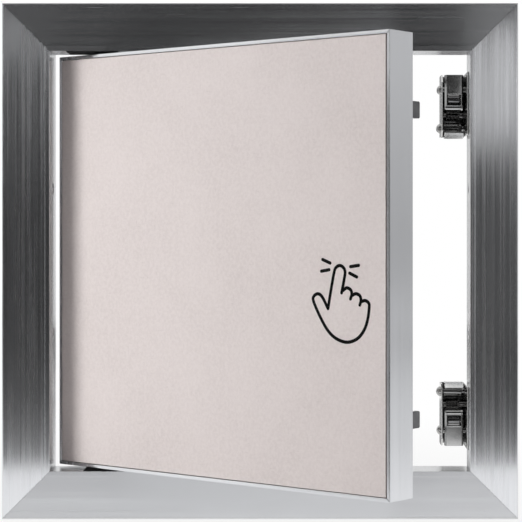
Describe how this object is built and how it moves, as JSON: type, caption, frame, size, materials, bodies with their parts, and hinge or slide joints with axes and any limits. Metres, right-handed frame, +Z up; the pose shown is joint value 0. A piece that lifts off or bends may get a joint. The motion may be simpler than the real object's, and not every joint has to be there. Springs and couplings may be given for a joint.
{
  "type": "ceiling access panel",
  "caption": "Square aluminium access panel: a flanged frame for a ceiling or wall cut-out, a hinged leaf filled with plasterboard, and sprung touch latches that catch hooks behind the leaf.",
  "frame": {"origin": "middle of the opening, in the plane of the flange's back face, which lies on the ceiling or wall", "axes": "+X to the right seen from the front, +Y from the front into the ceiling or wall, +Z up as pictured"},
  "size_m": [0.25, 0.1439, 0.25],
  "materials": {
    "frame_aluminium": "satin",
    "leaf_aluminium": "satin",
    "plated_steel": "polished",
    "fastener_steel": "satin",
    "spring_steel": "satin",
    "dark_steel": "satin",
    "bush_plastic": "matte",
    "board_paper": "matte"
  },
  "bodies": {
    "frame": {"frame_rail_top": "frame_aluminium", "frame_rail_bottom": "frame_aluminium", "frame_stile_left": "frame_aluminium", "frame_stile_right": "frame_aluminium", "frame_corner_keys": "fastener_steel", "hinge_plate_top": "bush_plastic", "hinge_plate_bottom": "bush_plastic", "upper_latch_housing": "plated_steel", "upper_latch_claw_pin": "plated_steel", "upper_latch_arm_pin": "plated_steel", "upper_latch_spring": "spring_steel", "upper_latch_spring_arbor": "fastener_steel", "lower_latch_housing": "plated_steel", "lower_latch_claw_pin": "plated_steel", "lower_latch_arm_pin": "plated_steel", "lower_latch_spring": "spring_steel", "lower_latch_spring_arbor": "fastener_steel", "latch_rivets": "fastener_steel"},
    "leaf": {"leaf_rail_top": "leaf_aluminium", "leaf_rail_bottom": "leaf_aluminium", "leaf_stile_left": "leaf_aluminium", "leaf_stile_right": "leaf_aluminium", "leaf_corner_keys": "fastener_steel", "plasterboard_panel": "board_paper", "board_screws": "fastener_steel", "upper_strike": "dark_steel", "lower_strike": "dark_steel", "strike_rivets": "fastener_steel", "hinge_pin_top": "fastener_steel", "hinge_pin_bottom": "fastener_steel", "hinge_washer_top": "bush_plastic", "hinge_washer_bottom": "bush_plastic"},
    "upper_claw": {"upper_latch_claw": "plated_steel"},
    "upper_roller_arm": {"upper_latch_roller_arm": "plated_steel", "upper_latch_roller_axle": "fastener_steel"},
    "upper_roller": {"upper_latch_roller": "plated_steel"},
    "lower_claw": {"lower_latch_claw": "plated_steel"},
    "lower_roller_arm": {"lower_latch_roller_arm": "plated_steel", "lower_latch_roller_axle": "fastener_steel"},
    "lower_roller": {"lower_latch_roller": "plated_steel"}
  },
  "joints": [
    {"name": "leaf_swing", "type": "hinge", "parent": "frame", "child": "leaf", "pos_m": [-0.0752, 0.005, 0], "axis": [0, 0, -1], "range_deg": [-38.7, 62]},
    {"name": "upper_claw_turn", "type": "hinge", "parent": "frame", "child": "upper_claw", "pos_m": [0.09555, 0.0312, 0.066], "axis": [-1, 0, 0], "range_deg": [0, 12], "stiffness_Nm_per_rad": 0.02},
    {"name": "upper_roller_arm_turn", "type": "hinge", "parent": "frame", "child": "upper_roller_arm", "pos_m": [0.09555, 0.028, 0.0851], "axis": [1, 0, 0], "range_deg": [0, 8], "stiffness_Nm_per_rad": 0.02},
    {"name": "upper_roller_spin", "type": "hinge", "parent": "upper_roller_arm", "child": "upper_roller", "pos_m": [0.09555, 0.022, 0.0798], "axis": [1, 0, 0], "continuous": true},
    {"name": "lower_claw_turn", "type": "hinge", "parent": "frame", "child": "lower_claw", "pos_m": [0.09555, 0.0312, -0.066], "axis": [1, 0, 0], "range_deg": [0, 12], "stiffness_Nm_per_rad": 0.02},
    {"name": "lower_roller_arm_turn", "type": "hinge", "parent": "frame", "child": "lower_roller_arm", "pos_m": [0.09555, 0.028, -0.0851], "axis": [-1, 0, 0], "range_deg": [0, 8], "stiffness_Nm_per_rad": 0.02},
    {"name": "lower_roller_spin", "type": "hinge", "parent": "lower_roller_arm", "child": "lower_roller", "pos_m": [0.09555, 0.022, -0.0798], "axis": [1, 0, 0], "continuous": true}
  ]
}
